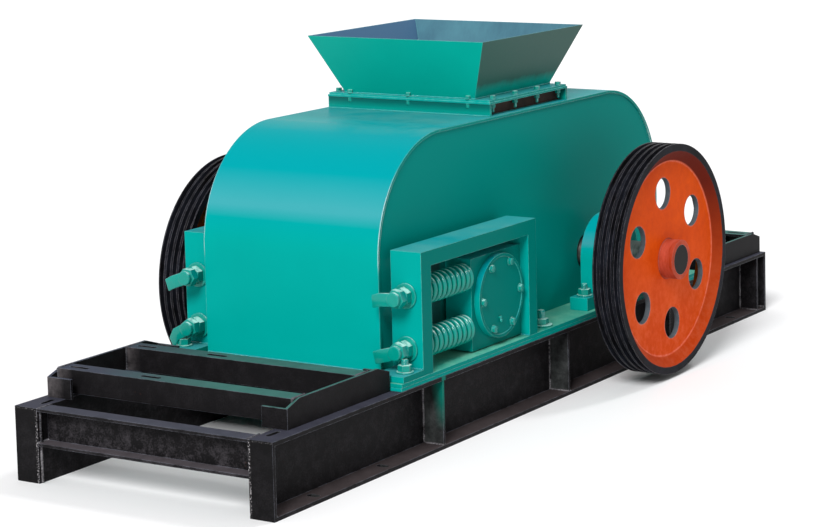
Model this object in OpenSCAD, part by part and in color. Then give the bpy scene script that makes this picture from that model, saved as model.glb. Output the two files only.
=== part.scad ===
// Double roll crusher on a long channel skid, with a raised motor base at each end.
// X runs across the skid, Y along it and Z up. The origin is on the floor at the middle of the skid.
// The front roll slides in guide frames against springs, and the rear roll turns in fixed bearings.
// The front roll is driven from the left side and the rear roll from the right side.

/* [Skid] */
// Length of the skid
skid_l = 2800; // [2760:10:3000]
// Width of the skid over the rail flanges
skid_w = 830; // [825:1:840]
// Height of the rail channel
rail_h = 200; // [195:1:220]
// Flange width of the rail channel
rail_b = 75; // [73:1:79]
// Web thickness of the rail channel
rail_web = 9; // [7:0.5:11]
// Flange thickness of the rail channel
rail_t = 11; // [9:0.5:13]
// Thickness of the plates that close the rail ends
end_plate_t = 10; // [6:1:16]
// Thickness of the ribs between the rail flanges
rib_t = 8; // [6:1:12]
// Height of the cross beam channel
beam_h = 100; // [80:5:120]
// Flange width of the cross beam channel
beam_b = 48; // [40:1:60]
// Web and flange thickness of the cross beam channel
beam_t = 8; // [5:0.5:10]
// Length of the foundation slots
foot_slot_l = 36; // [30:1:40]
// Width of the foundation slots
foot_slot_w = 20; // [16:1:24]

/* [Motor bases] */
// Length of a motor base along the skid
base_l = 455; // [440:5:460]
// Height of a motor base
base_h = 72; // [60:1:80]
// Width over the side plates of a motor base
base_w = 780; // [760:5:790]
// Shift of a motor base to the side where its motor stands
base_shift = 10; // [0:1:12]
// Thickness of the side plates, end plates and cross channels
base_t = 8; // [5:0.5:10]
// Width of the feet under the side plates
base_foot = 60; // [50:1:70]
// Width of the end plates
base_end = 80; // [70:1:84]
// Fall of the cut top corners
base_cut_z = 18; // [12:1:26]
// Gap between the front end of the skid and the front motor base
front_base_gap = 112; // [105:1:115]
// Gap between the rear end of the skid and the rear motor base
rear_base_gap = 12; // [5:1:20]
// Flange width of a cross channel of a motor base
strip_b = 56; // [48:1:60]
// Distance of the motor feet along the skid
motor_feet_y = 279; // [270:1:290]
// Distance of the motor feet across the skid
motor_feet_x = 241; // [230:1:250]
// Distance of the motor feet centre from the middle of the skid
motor_x = 220; // [215:1:225]
// Distance of the motor feet centre from the outer end of a motor base
motor_y = 201; // [195:1:210]
// Length of a motor slot
motor_slot_l = 64; // [50:1:66]
// Width of a motor slot
motor_slot_w = 15; // [12:1:18]

/* [Body] */
// Thickness of the packing plates on the rails
packing_t = 10; // [8:1:12]
// Thickness of the base plates under the body and the bearings
base_plate_t = 11; // [10:1:14]
// Width of the body over its cover sheet
body_w = 584; // [576:1:588]
// Gap between the front motor base and the base plates
front_plate_gap = 5; // [2:1:12]
// Gap between the rear motor base and the base plates
rear_plate_gap = 23; // [5:1:30]
// How far the front face of the body stands in front of the guide frames
body_past_guide = 20; // [10:1:24]
// Reach of the base plates behind the body
rear_ledge = 60; // [40:1:70]
// Height of the flat top of the body above the floor
body_top = 840; // [830:1:860]
// Radius of the large top corners
corner_r = 320; // [300:1:330]
// Thickness of the cover sheet
cover_t = 8; // [5:1:10]
// Thickness of the side plates
side_t = 12; // [10:1:14]
// Inset of the side plates from the edges of the cover sheet
side_inset = 4; // [2:1:8]

/* [Feed] */
// Distance from the middle of the skid to the feed centre
feed_centre = 80; // [74:1:86]
// Inset of the feed flange from the sides of the body
feed_inset = 10; // [6:1:16]
// Half length of the feed flange along the skid
feed_y = 223; // [218:1:228]
// Height of the collar under the feed flange
collar_h = 34; // [28:1:45]
// Inset of the collar walls from the flange edges
collar_inset = 2; // [0:1:8]
// Thickness of one of the two feed flanges
flange_t = 6; // [4:1:8]
// Width of the feed flange beside the hopper throat
side_flange_w = 63; // [58:1:70]
// Width of the feed flange before and behind the hopper throat
end_flange_w = 17; // [15:1:25]
// Height of the hopper above its flange
hopper_h = 174; // [160:1:190]
// Outward lean of the side walls of the hopper
lean_x = 78; // [70:1:84]
// Outward lean of the end walls of the hopper
lean_y = 76; // [68:1:84]
// Thickness of the hopper walls
hopper_t = 6; // [4:1:8]

/* [Rolls] */
// Height of the roll axes above the floor
axis_z = 362; // [358:1:366]
// Distance between the front roll and the front face of the body
front_roll_room = 119; // [115:1:125]
// Distance between the rear roll and the rear face of the body
rear_roll_room = 137; // [130:1:145]
// Room between a roll's end and the side plate
roll_end_room = 26; // [22:1:34]
// Wall of a roll shell
roll_t = 45; // [35:1:55]
// Gap between the rolls
roll_gap = 38; // [34:1:42]
// Diameter of the shafts
shaft_d = 90; // [84:1:92]

/* [Pulleys] */
// Outer diameter of a pulley
pulley_d = 692; // [680:1:700]
// Width of a pulley rim
pulley_w = 90; // [86:1:96]
// Distance from the rear bearing to the rear roll's pulley
pulley_gap = 103; // [95:1:115]
// Distance from the left guide frame to the front roll's pulley
front_pulley_gap = 74; // [64:1:90]
// Number of belt grooves
groove_n = 4; // [3:1:4]
// Depth of a belt groove
groove_depth = 14; // [11:0.5:16]
// Width of a belt groove at the rim
groove_w = 16; // [12:0.5:18]
// Width of the flat rim face
rim_face = 22; // [18:1:26]
// Thickness of the pulley web
web_t = 16; // [10:1:20]
// Depth of the web below the rim face
web_recess = 24; // [20:1:32]
// Radius of the flat part of the pulley web
web_r = 294; // [286:1:300]
// Diameter of the pulley hub
hub_d = 118; // [112:1:124]
// Length of the hub past the rim face
hub_out = 22; // [16:1:28]
// Diameter of the round holes in the pulley web
hole_d = 94; // [80:1:98]
// Radius of the circle that the round holes lie on
hole_r = 202; // [196:1:206]

/* [Guide frames] */
// Gap between the body and the right guide frame
guide_gap = 26; // [22:1:28]
// Width of the right guide frame across the skid
guide_w = 97; // [94:1:99]
// Gap between the body and the left guide frame
left_guide_gap = 1; // [0:0.5:3]
// Width of the left guide frame across the skid
left_guide_w = 83; // [80:1:86]
// Height of the guide frames above the base plates
guide_h = 333; // [330:1:340]
// Thickness of the front post
post_front = 48; // [42:1:52]
// Thickness of the rear post
post_rear = 43; // [36:1:50]
// Thickness of the top bar
guide_bar = 42; // [38:1:46]
// Length of the foot in front of the front post
guide_foot_l = 96; // [80:1:100]
// Thickness of that foot
guide_foot_t = 17; // [14:1:20]
// Reach of the base plates in front of that foot
front_ledge = 8; // [4:1:16]

/* [Sliding bearings] */
// Length of a sliding block along the skid
block_l = 264; // [258:1:266]
// Height of a sliding block
block_h = 260; // [256:1:264]
// Height of the block's underside above the base plate
block_lift = 4; // [1:0.5:6]
// Clearance of the sliding blocks from the side plates
block_gap = 9; // [6:1:14]
// Inset of a block's outer face from the face of its guide frame
block_out = 28; // [26:1:32]
// Diameter of the round bearing covers
cover_d = 237; // [228:1:242]
// Thickness of the round bearing covers
bearing_cover_t = 18; // [14:1:20]
// Travel of the sliding blocks
travel = 25; // [15:1:28]

/* [Springs and rods] */
// Outer diameter of a spring
spring_d = 80; // [76:1:84]
// Wire diameter of a spring
wire_d = 14; // [12:0.5:15]
// Distance between the coils of a spring
coil_pitch = 24; // [20:0.5:28]
// Height of the rods above and below the roll axis
rod_dz = 72; // [70:1:76]
// Diameter of the adjusting rods
rod_d = 28; // [24:1:30]
// Width of a hexagon nut across its flats
nut_af = 46; // [41:1:50]
// Height of a hexagon nut
nut_h = 24; // [20:1:28]
// Diameter of the washers
washer_d = 70; // [60:1:74]
// Length of a lever from its rod to its tip
lever_l = 66; // [50:1:72]
// Width of a lever
lever_w = 34; // [28:1:38]

/* [Rear bearings] */
// Gap between the body and a rear bearing
bearing_gap = 48; // [44:1:54]
// Width of a rear bearing along its shaft
bearing_w = 60; // [56:1:66]
// Radius of the rear bearing housings
housing_r = 125; // [120:1:132]
// Length of a rear bearing foot along the skid
bearing_foot_l = 386; // [370:1:400]
// Height of a rear bearing foot
bearing_foot_h = 39; // [32:1:44]

/* [Hidden] */
$fn = 96;
teal = "#00a89b";
dark = "#232426";
steel = "#8a8f92";
orange = "#e6501a";
// Distance that a cut reaches past the face that it opens
cut = 1;
// Gap between a piece and the one that it rests against
seat_gap = 0.3;
// Radial clearance of a shaft in its bearing
running = 0.05;
// Radial clearance of a shaft or a rod where it passes through a wall
pass_gap = 10;
rod_gap = 3;

// Places on the skid
web_x = skid_w / 2 - rail_b;
foundation_y = [skid_l / 2 - 520, skid_l / 2 - 208];
top_slot_y = skid_l / 2 - 72;
top_slot_l = 52;
// Places of the plates and the body, which fill the skid between the motor bases
plate_front = -skid_l / 2 + front_base_gap + base_l + front_plate_gap;
plate_rear = skid_l / 2 - rear_base_gap - base_l - rear_plate_gap;
guide_front = -plate_front - front_ledge - guide_foot_l;
body_front = guide_front + body_past_guide;
body_rear = plate_rear - rear_ledge;
base_z = rail_h + packing_t + base_plate_t;
side_x = body_w / 2 - side_inset - side_t;
plate_in = side_x - 16;
base_bar_l = 80;
feed_x = body_w / 2 - feed_inset;
throat_x = feed_x - side_flange_w;
throat_y = feed_y - end_flange_w;
feed_z = body_top + collar_h;
hopper_z = feed_z + 2 * flange_t;
// Places of the rolls
roll_l = 2 * (side_x - roll_end_room);
roll_d = (body_front + body_rear - front_roll_room - rear_roll_room - roll_gap) / 2;
front_axis_y = -body_front + front_roll_room + roll_d / 2;
rear_axis_y = body_rear - rear_roll_room - roll_d / 2;
nip_y = (front_axis_y + rear_axis_y) / 2;
rib_y = [-guide_front + 98, nip_y + 12, body_rear - 150, skid_l / 2 - 60];
hub_end = pulley_w + hub_out;
hole_turn = 7;
// Places of the guide frames, their blocks and their springs
block_z = base_z + block_lift;
block_front = front_axis_y - block_l / 2;
block_rear = front_axis_y + block_l / 2;
guide_rear = block_rear + seat_gap + post_rear;
spring_front = -guide_front + post_front + seat_gap;
spring_rear = block_front - seat_gap;
right_guide = [body_w / 2 + guide_gap, body_w / 2 + guide_gap + guide_w];
left_guide = [body_w / 2 + left_guide_gap, body_w / 2 + left_guide_gap + left_guide_w];
right_block = [side_x + side_t + block_gap + 6, right_guide[1] - block_out];
left_block = [side_x + side_t + block_gap, left_guide[1] - block_out];
right_rod_x = (right_guide[0] + right_guide[1]) / 2 - 2;
left_rod_x = (left_guide[0] + left_guide[1]) / 2 - 2;
// Places of the rear bearings and the pulleys
bearing_x = body_w / 2 + bearing_gap;
pulley_x = bearing_x + bearing_w + pulley_gap;
front_pulley_x = left_guide[1] + front_pulley_gap;
cover_rim_w = 9;
cover_rim_t = 2;
washer_t = 6;
// Turn of the outer nut against the inner one, and how far it reaches into its neighbours
nut_turn = 17;
nut_lap = 1;
lever_t = 12;
// How far the round end of a lever stands out past its flat sides
lever_eye = 3;
// Fall of each lever below the level, lower rod first
right_lever_fall = [15, 4];
left_lever_fall = [27, 19];
// Coils of a spring: one closed turn at each end, and open ones over the height between them
wire_h = wire_d * sin(60);
end_h = wire_h + 0.5;
open_h = spring_rear - spring_front - wire_h - 2 * end_h;
coils = 2 + round(2 * open_h / coil_pitch) / 2;
wire_sides = 6;
turn_steps = 8;

// ---- shared shapes ----

// A channel along +Y with its web on the plane x = 0 and its flanges towards +X
module channel(length, height, flange, web, thickness)
{
    rotate([90, 0, 0])
        mirror([0, 0, 1])
            linear_extrude(length)
                difference() {
                    square([flange, height]);
                    translate([web, thickness])
                        square([flange, height - 2 * thickness]);
                }
}

// A slot along X, cut down through a plate
module slot(length, width, height)
{
    for (side = [-1, 1])
        translate([side * (length - width) / 2, 0, 0])
            cylinder(d = width, h = height, $fn = 32);
    translate([-(length - width) / 2, -width / 2, 0])
        cube([length - width, width, height]);
}

// A round bar along X from one place to another
module cross_bar(from_x, to_x, diameter)
{
    translate([from_x, 0, 0])
        rotate([0, 90, 0])
            cylinder(d = diameter, h = to_x - from_x);
}

// Four walls round a rectangle
module wall_ring(half_x, half_y, wall, height)
{
    difference() {
        translate([-half_x, -half_y, 0])
            cube([2 * half_x, 2 * half_y, height]);
        translate([-half_x + wall, -half_y + wall, -cut])
            cube([2 * (half_x - wall), 2 * (half_y - wall), height + 2 * cut]);
    }
}

// ---- skid ----

module rail()
{
    color(dark)
        difference() {
            union() {
                translate([web_x, -skid_l / 2, 0])
                    channel(skid_l, rail_h, rail_b, rail_web, rail_t);
                for (end_y = [-skid_l / 2, skid_l / 2 - end_plate_t])
                    translate([web_x, end_y, 0])
                        cube([rail_b, end_plate_t, rail_h]);
                for (y = rib_y)
                    translate([web_x, y - rib_t / 2, rail_t / 2])
                        cube([rail_b - 2, rib_t, rail_h - rail_t]);
            }
            for (y = foundation_y, side = [-1, 1])
                translate([web_x + (rail_b + rail_web) / 2, side * y, -cut])
                    slot(foot_slot_l, foot_slot_w, rail_t + 2 * cut);
            for (side = [-1, 1])
                translate([web_x + rail_b / 3, side * top_slot_y, rail_h - rail_t - cut])
                    rotate([0, 0, 90])
                        slot(top_slot_l, motor_slot_w, rail_t + 2 * cut);
        }
}

module rail_left() { mirror([1, 0, 0]) rail(); }
module rail_right() { rail(); }

// A beam between the rail webs, flush with the rail tops, with its flanges towards -Y
module cross_beam(web_y)
{
    color(dark)
        translate([-web_x, web_y, rail_h - beam_h])
            rotate([0, 0, -90])
                channel(2 * web_x, beam_h, beam_b, beam_t, beam_t);
}

module cross_beam_front() { cross_beam(-skid_l / 2 + beam_b); }
module cross_beam_rear() { mirror([0, 1, 0]) cross_beam(-skid_l / 2 + beam_b); }
module cross_beam_body_front() { cross_beam(plate_front + beam_b); }
module cross_beam_body_rear() { mirror([0, 1, 0]) cross_beam(-plate_rear + beam_b); }

// ---- motor bases ----

// Side view of a motor base, with its two top corners cut off
module base_outline()
{
    cut_y = 3 * base_cut_z;
    polygon([[0, 0], [base_l, 0], [base_l, base_h - base_cut_z], [base_l - cut_y, base_h],
             [cut_y, base_h], [0, base_h - base_cut_z]]);
}

// One side of a motor base: an upright plate on a foot, closed at both ends
module base_side()
{
    color(dark) {
        translate([base_w / 2 - base_t, 0, 0])
            rotate([90, 0, 90])
                linear_extrude(base_t)
                    base_outline();
        translate([base_w / 2 - base_foot, 0, 0])
            cube([base_foot, base_l, base_t]);
        for (y = [0, base_l - base_t])
            translate([base_w / 2 - base_end, y, 0])
                cube([base_end, base_t, base_h - base_cut_z]);
    }
}

// Two channels across a motor base, with the four motor slots in their tops
module base_cross()
{
    inner_w = base_w - 2 * base_t;
    color(dark)
        for (end = [-1, 1])
            translate([-inner_w / 2, motor_y + end * motor_feet_y / 2 - strip_b / 2, base_t])
                difference() {
                    translate([inner_w, 0, 0])
                        rotate([0, 0, 90])
                            channel(inner_w, base_h - base_t, strip_b, base_t, base_t);
                    for (foot = [-1, 1])
                        translate([inner_w / 2 + base_shift - motor_x + foot * motor_feet_x / 2,
                                   strip_b / 2, base_h - 2 * base_t - cut])
                            slot(motor_slot_l, motor_slot_w, base_t + 2 * cut);
                }
}

module place_front_base()
{
    translate([-base_shift, -skid_l / 2 + front_base_gap, rail_h])
        children();
}

module place_rear_base()
{
    translate([base_shift, skid_l / 2 - rear_base_gap, rail_h])
        rotate([0, 0, 180])
            children();
}

module front_base_side_right() { place_front_base() base_side(); }
module front_base_side_left() { place_front_base() mirror([1, 0, 0]) base_side(); }
module front_base_cross() { place_front_base() base_cross(); }
module rear_base_side_right() { place_rear_base() mirror([1, 0, 0]) base_side(); }
module rear_base_side_left() { place_rear_base() base_side(); }
module rear_base_cross() { place_rear_base() base_cross(); }

// ---- plates under the body ----

module packing_plate()
{
    color(teal)
        translate([web_x - 20, plate_front, rail_h])
            cube([rail_b + 18, plate_rear - plate_front, packing_t]);
}

module packing_plate_right() { packing_plate(); }
module packing_plate_left() { mirror([1, 0, 0]) packing_plate(); }

module base_plate()
{
    color(teal)
        translate([plate_in, plate_front, rail_h + packing_t])
            cube([right_guide[1] - plate_in, plate_rear - plate_front, base_plate_t]);
}

module base_plate_right() { base_plate(); }
module base_plate_left() { mirror([1, 0, 0]) base_plate(); }

module base_bar(y)
{
    color(teal)
        translate([-plate_in, y, rail_h])
            cube([2 * plate_in, base_bar_l, packing_t + base_plate_t]);
}

module base_plate_front() { base_bar(plate_front); }
module base_plate_rear() { base_bar(plate_rear - base_bar_l); }

// ---- body ----

// The body in side view, drawn in from the outside of the cover by a given inset
module body_outline(inset)
{
    r = corner_r - inset;
    low_y = -body_front + inset;
    high_y = body_rear - inset;
    top = body_top - inset;
    intersection() {
        union() {
            translate([low_y, base_z])
                square([high_y - low_y, top - r - base_z]);
            translate([low_y + r, base_z])
                square([high_y - low_y - 2 * r, top - base_z]);
            for (y = [low_y + r, high_y - r])
                translate([y, top - r])
                    circle(r, $fn = 180);
        }
        translate([low_y, base_z])
            square([high_y - low_y, top - base_z]);
    }
}

// The cover sheet between two places along the skid
module cover(from_y, to_y)
{
    color(teal)
        translate([-body_w / 2, 0, 0])
            rotate([90, 0, 90])
                linear_extrude(body_w)
                    intersection() {
                        difference() {
                            body_outline(0);
                            body_outline(cover_t);
                        }
                        translate([from_y, base_z])
                            square([to_y - from_y, body_top]);
                    }
}

module hood_front() { cover(-body_front, -body_front + corner_r); }
module hood_rear() { cover(body_rear - corner_r, body_rear); }

module hood_top()
{
    color(teal)
        difference() {
            cover(-body_front + corner_r, body_rear - corner_r);
            translate([-throat_x, feed_centre - throat_y, body_top - cover_t - cut])
                cube([2 * throat_x, 2 * throat_y, cover_t + 2 * cut]);
        }
}

// A side wall with a long hole for the sliding shaft and a round one for the fixed shaft
module side_plate()
{
    hole = shaft_d + 2 * pass_gap;
    color(teal)
        difference() {
            translate([side_x, 0, 0])
                rotate([90, 0, 90])
                    linear_extrude(side_t)
                        body_outline(cover_t);
            for (y = [front_axis_y, front_axis_y - travel, rear_axis_y])
                translate([0, y, axis_z])
                    cross_bar(side_x - cut, side_x + side_t + cut, hole);
            translate([side_x - cut, front_axis_y - travel, axis_z - hole / 2])
                cube([side_t + 2 * cut, travel, hole]);
        }
}

module side_plate_right() { side_plate(); }
module side_plate_left() { mirror([1, 0, 0]) side_plate(); }

// ---- feed ----

// Two wide end walls with the side walls set in between them
module feed_collar()
{
    wall = 8;
    side_in = 26;
    half_x = feed_x - collar_inset / 4;
    half_y = feed_y - collar_inset;
    color(teal)
        translate([0, feed_centre, body_top]) {
            wall_ring(half_x - side_in, half_y, wall, collar_h);
            for (y = [-half_y, half_y - wall])
                translate([-half_x, y, 0])
                    cube([2 * half_x, wall, collar_h]);
        }
}

// The collar's flange and the hopper's flange, bolted together
module feed_flange()
{
    color(teal)
        translate([0, feed_centre, feed_z])
            difference() {
                union() {
                    translate([-feed_x, -feed_y, 0])
                        cube([2 * feed_x, 2 * feed_y, flange_t]);
                    translate([-feed_x + 3, -feed_y + 3, 0])
                        cube([2 * feed_x - 6, 2 * feed_y - 6, 2 * flange_t]);
                }
                translate([-throat_x, -throat_y, -cut])
                    cube([2 * throat_x, 2 * throat_y, 2 * flange_t + 2 * cut]);
            }
}

// A four sided funnel that leans out as it rises
module funnel(low_x, low_y, out_x, out_y, height)
{
    sheet = 0.01;
    hull() {
        translate([-low_x, -low_y, 0])
            cube([2 * low_x, 2 * low_y, sheet]);
        translate([-low_x - out_x, -low_y - out_y, height - sheet])
            cube([2 * (low_x + out_x), 2 * (low_y + out_y), sheet]);
    }
}

module hopper()
{
    // The inside runs past both ends on the same lean
    past = (hopper_h + 2 * cut) / hopper_h;
    color(teal)
        translate([0, feed_centre, hopper_z])
            difference() {
                funnel(throat_x + hopper_t, throat_y + hopper_t, lean_x, lean_y, hopper_h);
                translate([0, 0, -cut])
                    funnel(throat_x - lean_x * cut / hopper_h, throat_y - lean_y * cut / hopper_h,
                           lean_x * past, lean_y * past, hopper_h + 2 * cut);
            }
}

// ---- guide frames ----

// An open frame of two posts and a top bar round the sliding block, with a foot in front
module guide_frame(guide, rod_x)
{
    depth = guide[1] - guide[0];
    color(teal)
        difference() {
            union() {
                translate([guide[0], -guide_front, base_z])
                    cube([depth, guide_rear + guide_front, guide_h]);
                translate([guide[0], -guide_front - guide_foot_l, base_z])
                    cube([depth, guide_foot_l + cut, guide_foot_t]);
            }
            translate([guide[0] - cut, -guide_front + post_front, base_z - cut])
                cube([depth + 2 * cut, guide_rear - post_rear + guide_front - post_front,
                      guide_h - guide_bar + cut]);
            for (dz = [-rod_dz, rod_dz])
                translate([rod_x, -guide_front - cut, axis_z + dz])
                    rotate([-90, 0, 0])
                        cylinder(d = rod_d + 2 * rod_gap, h = post_front + 2 * cut);
        }
}

module guide_frame_right() { guide_frame(right_guide, right_rod_x); }
module guide_frame_left() { mirror([1, 0, 0]) guide_frame(left_guide, left_rod_x); }

// ---- springs ----

// Height along the spring after a number of turns, with one closed turn at each end
function spring_rise(turns) =
    wire_h / 2 + (turns < 1 ? turns * end_h :
        turns > coils - 1 ? open_h + (turns - coils + 2) * end_h :
        end_h + open_h * (turns - 1) / (coils - 2));

// Points round the wire after a number of turns
function wire_ring(turns) =
    let (turn = 360 * turns, mean_r = (spring_d - wire_d) / 2)
    [for (k = [0 : wire_sides - 1])
        let (a = 360 * k / wire_sides, r = mean_r + wire_d / 2 * cos(a))
        [r * cos(turn), spring_rise(turns) + wire_d / 2 * sin(a), r * sin(turn)]];

// A wire spring along +Y, as a chain of rings that are joined by walls
module spring()
{
    count = coils * turn_steps;
    points = [for (i = [0 : count]) each wire_ring(i / turn_steps)];
    walls = [for (i = [0 : count - 1], k = [0 : wire_sides - 1], half = [0, 1])
        let (a = i * wire_sides + k, b = i * wire_sides + (k + 1) % wire_sides)
        half == 0 ? [a, b, b + wire_sides] : [a, b + wire_sides, a + wire_sides]];
    first_end = [for (k = [wire_sides - 1 : -1 : 0]) k];
    last_end = [for (k = [0 : wire_sides - 1]) count * wire_sides + k];
    polyhedron(points, concat([first_end, last_end], walls), convexity = 20);
}

module springs(x)
{
    color(teal)
        for (dz = [-rod_dz, rod_dz])
            translate([x, spring_front, axis_z + dz])
                spring();
}

module springs_right() { springs(right_rod_x); }
module springs_left() { springs(-left_rod_x); }

// ---- fixed rear bearings ----

module rear_bearing()
{
    color(teal)
        difference() {
            union() {
                translate([bearing_x, rear_axis_y - bearing_foot_l / 2, base_z])
                    cube([bearing_w, bearing_foot_l, bearing_foot_h]);
                translate([bearing_x, rear_axis_y - housing_r, base_z])
                    cube([bearing_w, 2 * housing_r, axis_z - base_z]);
                translate([0, rear_axis_y, axis_z])
                    cross_bar(bearing_x, bearing_x + bearing_w, 2 * housing_r);
            }
            translate([0, rear_axis_y, axis_z])
                cross_bar(bearing_x - cut, bearing_x + bearing_w + cut, shaft_d + 2 * running);
        }
}

module rear_bearing_right() { rear_bearing(); }
module rear_bearing_left() { mirror([1, 0, 0]) rear_bearing(); }

// ---- sliding front bearings ----

module slide_block(block)
{
    color(teal)
        difference() {
            translate([block[0], block_front, block_z])
                cube([block[1] - block[0], block_l, block_h]);
            translate([0, front_axis_y, axis_z])
                cross_bar(block[0] - cut, block[1] + cut, shaft_d + 2 * running);
        }
}

module slide_block_right() { slide_block(right_block); }
module slide_block_left() { mirror([1, 0, 0]) slide_block(left_block); }

// A round cover with a raised rim, which closes the block where the shaft ends
module bearing_cover_right()
{
    face = right_block[1] + bearing_cover_t;
    color(teal)
        translate([0, front_axis_y, axis_z])
            difference() {
                cross_bar(right_block[1], face, cover_d);
                cross_bar(face - cover_rim_t, face + cut, cover_d - 2 * cover_rim_w);
            }
}

// A round cover that the shaft passes through
module bearing_cover_left()
{
    face = -left_block[1] - bearing_cover_t;
    color(teal)
        translate([0, front_axis_y, axis_z])
            difference() {
                cross_bar(face, -left_block[1], cover_d);
                cross_bar(face - cut, -left_block[1] + cut, shaft_d + pass_gap);
            }
}

// ---- adjusting rods ----

// A rod from the block out through the front post, with a washer, two nuts and a flat lever
module adjusting_rod(fall)
{
    stack = -guide_front - seat_gap;
    nut_d = nut_af / cos(30);
    tip = stack - washer_t - 2 * nut_h;
    rotate([90, 0, 0]) {
        translate([0, 0, -block_front])
            cylinder(d = rod_d, h = block_front - tip + cut);
        translate([0, 0, -stack])
            cylinder(d = washer_d, h = washer_t);
        translate([0, 0, -stack + washer_t / 2])
            cylinder(d = nut_d, h = washer_t / 2 + nut_h, $fn = 6);
        translate([0, 0, -stack + washer_t + nut_h - nut_lap])
            rotate([0, 0, nut_turn])
                cylinder(d = nut_d, h = nut_h + 2 * nut_lap, $fn = 6);
        translate([0, 0, -tip - nut_lap])
            cylinder(d = lever_w + 2 * lever_eye, h = lever_t + 2 * nut_lap);
    }
    translate([0, tip, 0])
        rotate([0, -fall, 0])
            translate([-lever_l, -lever_t, -lever_w / 2])
                cube([lever_l, lever_t, lever_w]);
}

module adjusting_rods(x, falls)
{
    color(teal)
        for (i = [0, 1])
            translate([x, 0, axis_z + (2 * i - 1) * rod_dz])
                adjusting_rod(falls[i]);
}

module adjusting_rods_right() { adjusting_rods(right_rod_x, right_lever_fall); }
module adjusting_rods_left() { adjusting_rods(-left_rod_x, left_lever_fall); }

// ---- rolls, shafts and pulleys ----

module front_shaft()
{
    color(steel)
        translate([0, front_axis_y, axis_z])
            cross_bar(-front_pulley_x - hub_end, right_block[1] - 2, shaft_d);
}

module rear_shaft()
{
    color(steel)
        translate([0, rear_axis_y, axis_z])
            cross_bar(-bearing_x - bearing_w - 20, pulley_x + hub_end, shaft_d);
}

// A hollow roll with thick end walls on its shaft
module roll(y)
{
    end_wall = 60;
    core = 40;
    color(steel)
        translate([-roll_l / 2, y, axis_z])
            rotate([0, 90, 0])
                rotate_extrude($fn = 180)
                    difference() {
                        translate([shaft_d / 2, 0])
                            square([(roll_d - shaft_d) / 2, roll_l]);
                        translate([shaft_d / 2 + core, end_wall])
                            square([(roll_d - shaft_d) / 2 - core - roll_t, roll_l - 2 * end_wall]);
                    }
}

module front_roll() { roll(front_axis_y); }
module rear_roll() { roll(rear_axis_y); }

// Half section of the pulley rim, web and hub, with x along the radius and y along the axis
module pulley_section()
{
    rim_r = pulley_d / 2;
    hub_r = hub_d / 2;
    web_y = pulley_w - web_recess;
    pitch = pulley_w / groove_n;
    grooves = [for (i = [0 : groove_n - 1], k = [-1, -0.6, 0.6, 1])
        [abs(k) < 1 ? rim_r - groove_depth : rim_r, (i + 0.5) * pitch + k * groove_w / 2]];
    polygon(concat([[rim_r, 0]], grooves,
        [[rim_r, pulley_w], [rim_r - rim_face, pulley_w], [web_r, web_y], [hub_r, web_y],
         [hub_r, hub_end], [shaft_d / 2, hub_end], [shaft_d / 2, 0], [hub_r, 0],
         [hub_r, web_y - web_t], [web_r, web_y - web_t], [rim_r - rim_face, 0]]));
}

// A dished belt pulley with its axis along X and its hub towards +X
module pulley()
{
    color(orange)
        rotate([0, 90, 0])
            difference() {
                rotate_extrude($fn = 180)
                    pulley_section();
                for (i = [0 : 5])
                    rotate([0, 0, 60 * i + hole_turn])
                        translate([hole_r, 0, -cut])
                            cylinder(d = hole_d, h = pulley_w + 2 * cut, $fn = 64);
            }
}

module rear_pulley()
{
    translate([pulley_x, rear_axis_y, axis_z])
        pulley();
}

module front_pulley()
{
    translate([-front_pulley_x, front_axis_y, axis_z])
        mirror([1, 0, 0])
            pulley();
}

rail_left();
rail_right();
cross_beam_front();
cross_beam_rear();
cross_beam_body_front();
cross_beam_body_rear();
front_base_side_left();
front_base_side_right();
front_base_cross();
rear_base_side_left();
rear_base_side_right();
rear_base_cross();
packing_plate_left();
packing_plate_right();
base_plate_left();
base_plate_right();
base_plate_front();
base_plate_rear();
side_plate_left();
side_plate_right();
hood_front();
hood_top();
hood_rear();
feed_collar();
feed_flange();
hopper();
guide_frame_left();
guide_frame_right();
springs_left();
springs_right();
rear_bearing_left();
rear_bearing_right();
slide_block_left();
slide_block_right();
bearing_cover_left();
bearing_cover_right();
adjusting_rods_left();
adjusting_rods_right();
front_shaft();
front_roll();
front_pulley();
rear_shaft();
rear_roll();
rear_pulley();
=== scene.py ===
# %% [markdown]
# # A double roll crusher
# The machine is already built as a frame of plain solids: a long skid of channel rails, a hooded
# body with a feed hopper, two rolls with belt pulleys, and a pair of spring loaded guide frames.
# This lesson dresses that frame. It sets up the camera and the light, mixes the paints, and then
# models what the plain solids leave out: round springs, nuts with chamfers, bolts and weld beads.

# %% Load the frame
import math

import bpy
from mathutils import Matrix, Vector


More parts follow.
